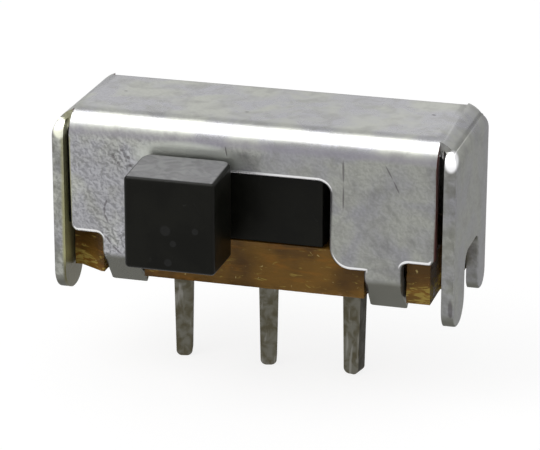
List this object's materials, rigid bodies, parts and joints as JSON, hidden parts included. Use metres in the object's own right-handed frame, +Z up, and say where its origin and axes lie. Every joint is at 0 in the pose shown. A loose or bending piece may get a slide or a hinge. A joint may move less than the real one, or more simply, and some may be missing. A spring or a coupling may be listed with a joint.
{
  "type": "slide switch",
  "caption": "Right-angle slide switch: folded steel cover on a laminate base, flat terminals below and a black knob that slides along the front.",
  "frame": {"origin": "on the middle terminal, at the level of the tips of the feet, which stand on the circuit board", "axes": "+X along the knob's travel, from its rest at the left to the right; -Y the way the knob points; +Z up, away from the circuit board"},
  "size_m": [0.0116, 0.0064, 0.0078],
  "materials": {
    "tinned_steel": "satin, worn tin plate",
    "laminate": "punched paper laminate",
    "terminal_plating": "dull tin plate on brass",
    "black_plastic": "moulded, slightly glossy",
    "contact_bronze": "bright rolled strip"
  },
  "bodies": {
    "housing": {"cover": "tinned_steel", "base_board": "laminate", "terminal_left": "terminal_plating", "terminal_middle": "terminal_plating", "terminal_right": "terminal_plating"},
    "slide_knob": {"slider": "black_plastic", "moving_contact": "contact_bronze"}
  },
  "joints": [
    {"name": "knob_slide", "type": "slide", "parent": "housing", "child": "slide_knob", "axis": [1, 0, 0], "range_m": [0, 0.00342]}
  ]
}
